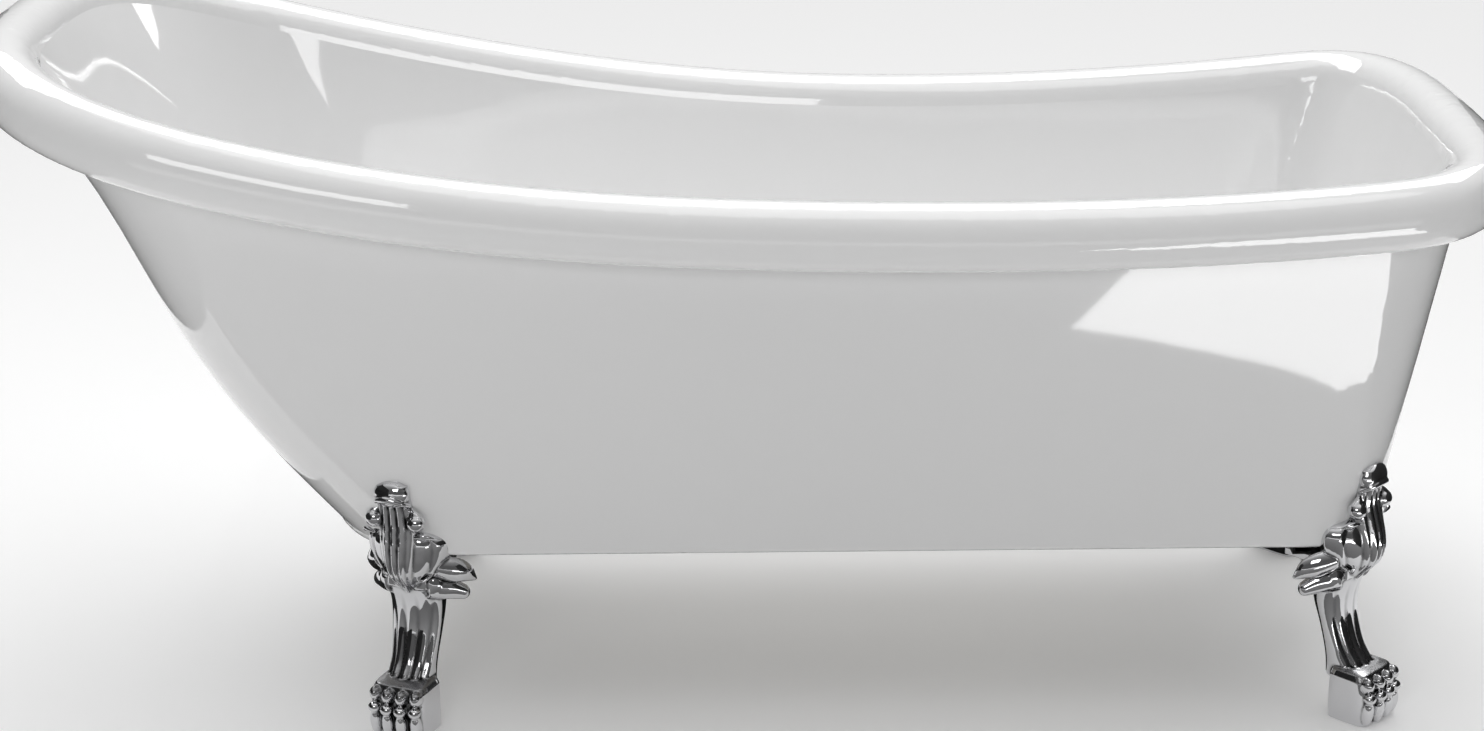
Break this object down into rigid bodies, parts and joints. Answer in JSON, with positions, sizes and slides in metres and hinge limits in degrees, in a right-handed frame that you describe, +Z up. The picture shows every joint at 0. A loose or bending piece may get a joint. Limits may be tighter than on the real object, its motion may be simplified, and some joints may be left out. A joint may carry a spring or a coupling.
{
  "type": "clawfoot bathtub",
  "caption": "Free-standing slipper bath with a rolled rim and one raised sloping end, on cast claw feet with levelling pads, with a lift-up drain stopper and an overflow.",
  "frame": {"origin": "on the floor, under the middle of the bath's outline seen from above", "axes": "+X towards the drain end, -X towards the raised slipper end; +Z up; +Y to the bath's left-hand side"},
  "size_m": [1.7, 0.737, 0.79],
  "materials": {
    "acrylic": "glossy white moulded acrylic",
    "plywood": "sanded birch plywood",
    "black_steel": "satin black powder coat",
    "chrome": "polished chrome plate",
    "zinc_steel": "bright zinc plate",
    "nylon": "moulded black nylon",
    "rubber": "moulded black rubber",
    "pipe_plastic": "moulded white plastic",
    "hose_plastic": "flexible grey plastic"
  },
  "bodies": {
    "tub": {"skirt": "acrylic", "basin": "acrylic", "bottom_panel": "plywood", "base_board": "plywood", "cross_rail_head": "black_steel", "cross_rail_drain": "black_steel", "claw_foot_head_left": "chrome", "claw_foot_head_right": "chrome", "claw_foot_drain_left": "chrome", "claw_foot_drain_right": "chrome", "foot_bolts": "zinc_steel", "foot_washers": "zinc_steel", "foot_nuts": "zinc_steel", "rail_screws": "zinc_steel", "drain_flange": "chrome", "drain_gasket": "rubber", "drain_shoe": "pipe_plastic", "stem_guide": "chrome", "overflow_cover": "chrome", "overflow_gasket": "rubber", "overflow_elbow": "pipe_plastic", "overflow_screw": "chrome", "overflow_hose": "hose_plastic", "waste_tee": "pipe_plastic", "cross_pipe": "pipe_plastic", "tailpiece": "pipe_plastic", "slip_nuts": "pipe_plastic"},
    "stopper": {"stopper_cap": "chrome", "stopper_seal": "rubber", "stopper_stem": "chrome"},
    "pad_head_left": {"leveller_pad_head_left": "nylon"},
    "stud_head_left": {"leveller_stud_head_left": "zinc_steel"},
    "pad_head_right": {"leveller_pad_head_right": "nylon"},
    "stud_head_right": {"leveller_stud_head_right": "zinc_steel"},
    "pad_drain_left": {"leveller_pad_drain_left": "nylon"},
    "stud_drain_left": {"leveller_stud_drain_left": "zinc_steel"},
    "pad_drain_right": {"leveller_pad_drain_right": "nylon"},
    "stud_drain_right": {"leveller_stud_drain_right": "zinc_steel"}
  },
  "joints": [
    {"name": "stopper_lift", "type": "slide", "parent": "tub", "child": "stopper", "axis": [0, 0, 1], "range_m": [0, 0.009]},
    {"name": "level_slide_head_left", "type": "slide", "parent": "tub", "child": "pad_head_left", "axis": [0, 0, -1], "range_m": [0, 0.012]},
    {"name": "level_turn_head_left", "type": "hinge", "parent": "pad_head_left", "child": "stud_head_left", "pos_m": [-0.38936, 0.25396, 0.02], "axis": [0, 0, -1], "range_deg": [0, 2880]},
    {"name": "level_slide_head_right", "type": "slide", "parent": "tub", "child": "pad_head_right", "axis": [0, 0, -1], "range_m": [0, 0.012]},
    {"name": "level_turn_head_right", "type": "hinge", "parent": "pad_head_right", "child": "stud_head_right", "pos_m": [-0.38936, -0.25396, 0.02], "axis": [0, 0, -1], "range_deg": [0, 2880]},
    {"name": "level_slide_drain_left", "type": "slide", "parent": "tub", "child": "pad_drain_left", "axis": [0, 0, -1], "range_m": [0, 0.012]},
    {"name": "level_turn_drain_left", "type": "hinge", "parent": "pad_drain_left", "child": "stud_drain_left", "pos_m": [0.69946, 0.24023, 0.02], "axis": [0, 0, -1], "range_deg": [0, 2880]},
    {"name": "level_slide_drain_right", "type": "slide", "parent": "tub", "child": "pad_drain_right", "axis": [0, 0, -1], "range_m": [0, 0.012]},
    {"name": "level_turn_drain_right", "type": "hinge", "parent": "pad_drain_right", "child": "stud_drain_right", "pos_m": [0.69946, -0.24023, 0.02], "axis": [0, 0, -1], "range_deg": [0, 2880]}
  ],
  "couplings": [
    {"joint": "level_turn_head_left", "follows": "level_slide_head_left", "rad_per_m": 4188.8},
    {"joint": "level_turn_head_right", "follows": "level_slide_head_right", "rad_per_m": 4188.8},
    {"joint": "level_turn_drain_left", "follows": "level_slide_drain_left", "rad_per_m": 4188.8},
    {"joint": "level_turn_drain_right", "follows": "level_slide_drain_right", "rad_per_m": 4188.8}
  ]
}
